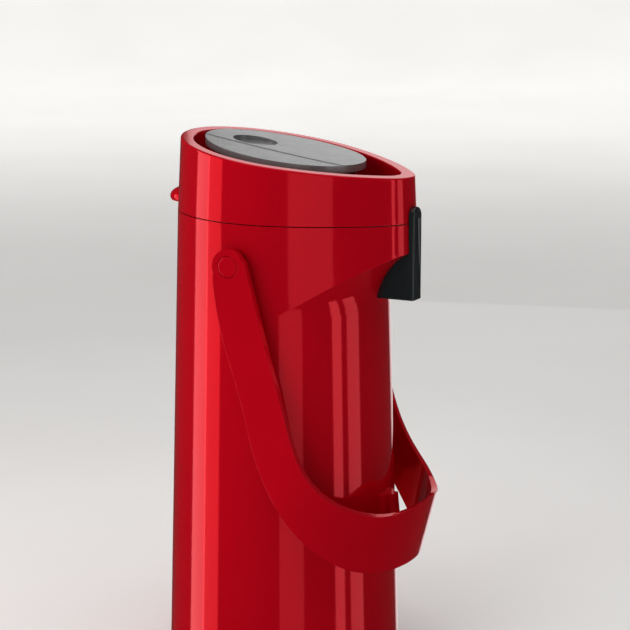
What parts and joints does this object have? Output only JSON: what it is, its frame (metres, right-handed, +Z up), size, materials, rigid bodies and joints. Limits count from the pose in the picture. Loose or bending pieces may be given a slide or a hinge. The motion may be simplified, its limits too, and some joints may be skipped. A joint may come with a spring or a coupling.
{
  "type": "pump vacuum pot",
  "caption": "Slim red vacuum pot with a nose-shaped sloping lid, press plate pump, black front spout and swinging carrying handle.",
  "frame": {"origin": "centre of the underside, on the pot's axis, on the surface that it stands on", "axes": "+Z up along the pot's axis; the spout faces -Y; the left side is -X"},
  "size_m": [0.165, 0.2021, 0.3738],
  "materials": {
    "red_gloss": "high gloss red",
    "base_red": "semi-gloss red",
    "plate_satin": "satin dark grey",
    "black_plastic": "satin black",
    "spout_gloss": "high gloss black",
    "insert_black": "gloss black",
    "rubber": "matte",
    "silicone": "translucent white silicone",
    "bellows_rubber": "matte",
    "steel": "plated",
    "spring_steel": "drawn wire",
    "silvered_glass": "silvered glass",
    "white_plastic": "satin white",
    "clear_tube": "clear"
  },
  "bodies": {
    "pot": {"body_shell": "red_gloss", "hinge_bracket": "steel", "base_plate": "base_red", "foot_ring": "rubber", "centre_pad": "rubber", "base_screws": "steel", "liner_cushion": "rubber", "liner_outer": "silvered_glass", "liner_inner": "silvered_glass", "shoulder_collar": "white_plastic", "neck_seal": "silicone", "tube_carrier": "white_plastic", "riser_tube": "clear_tube", "tube_coupling": "silicone", "outlet_elbow": "white_plastic", "outlet_pipe": "white_plastic", "pipe_seal": "silicone", "spout_housing": "spout_gloss", "pivot_pin_left": "black_plastic", "pivot_pin_right": "black_plastic", "pivot_washer_left": "black_plastic", "pivot_washer_right": "black_plastic"},
    "carrying_handle": {"handle": "red_gloss", "pivot_cap_left": "red_gloss", "pivot_cap_right": "red_gloss"},
    "lid": {"lid_shell": "red_gloss", "pump_deck": "red_gloss", "lid_underplate": "white_plastic", "lid_gasket": "silicone", "air_valve": "silicone", "hinge_pin": "steel", "deck_screws": "steel", "bellows": "bellows_rubber", "return_spring": "spring_steel", "bellows_clamp": "white_plastic"},
    "press": {"plunger": "black_plastic", "push_plate": "plate_satin", "plunger_screws": "steel"},
    "insert": {"drip_insert": "insert_black"}
  },
  "joints": [
    {"name": "handle_swing", "type": "hinge", "parent": "pot", "child": "carrying_handle", "pos_m": [0, -0.0015, 0.2926], "axis": [-1, 0, 0], "range_deg": [0, 165]},
    {"name": "lid_open", "type": "hinge", "parent": "pot", "child": "lid", "pos_m": [0, 0.08, 0.327], "axis": [-1, 0, 0], "range_deg": [0, 92]},
    {"name": "pump_press", "type": "slide", "parent": "lid", "child": "press", "axis": [0, 0, -1], "range_m": [0, 0.018], "stiffness_N_per_m": 700, "springref_m": -0.012, "deforming": ["bellows", "return_spring"]},
    {"name": "insert_pull", "type": "slide", "parent": "pot", "child": "insert", "axis": [0, 0, -1], "range_m": [0, 0.022]}
  ]
}
